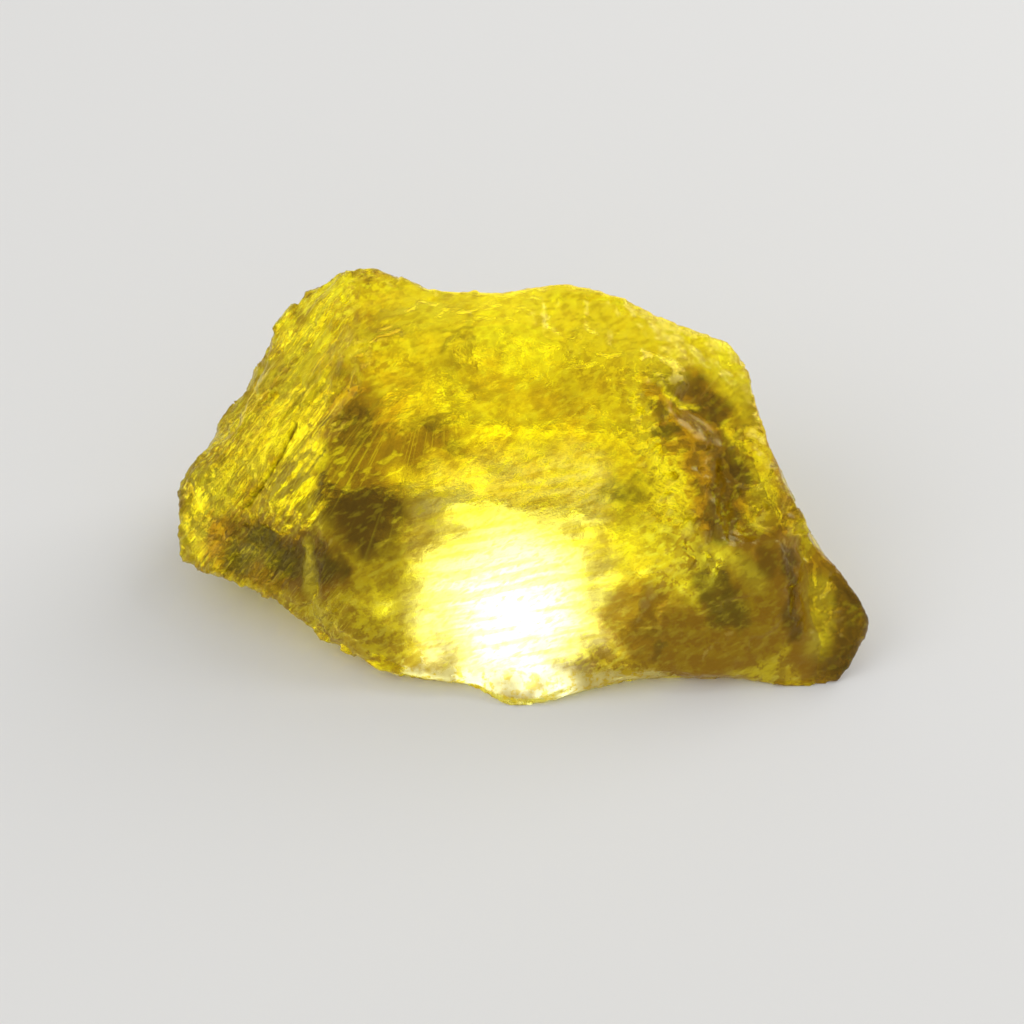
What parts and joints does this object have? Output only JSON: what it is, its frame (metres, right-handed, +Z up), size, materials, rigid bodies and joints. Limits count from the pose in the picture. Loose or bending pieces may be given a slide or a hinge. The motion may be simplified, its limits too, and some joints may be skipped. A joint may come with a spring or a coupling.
{
  "type": "raw amber piece",
  "caption": "Rough see-through golden amber lump with a broad hollow broken face, a splintered flank, a crest of teeth and a flat underside to rest on.",
  "frame": {"origin": "middle of the bounding box at its base, on the surface the piece rests on", "axes": "+X along the length to the thin foot, +Y from the broad broken face to the back, +Z up"},
  "size_m": [0.0796, 0.0464, 0.0346],
  "materials": {
    "amber": "clear to cloudy golden amber, glossy broken faces and a frosted crust"
  },
  "bodies": {
    "root": {"amber_piece": "amber"}
  },
  "joints": []
}
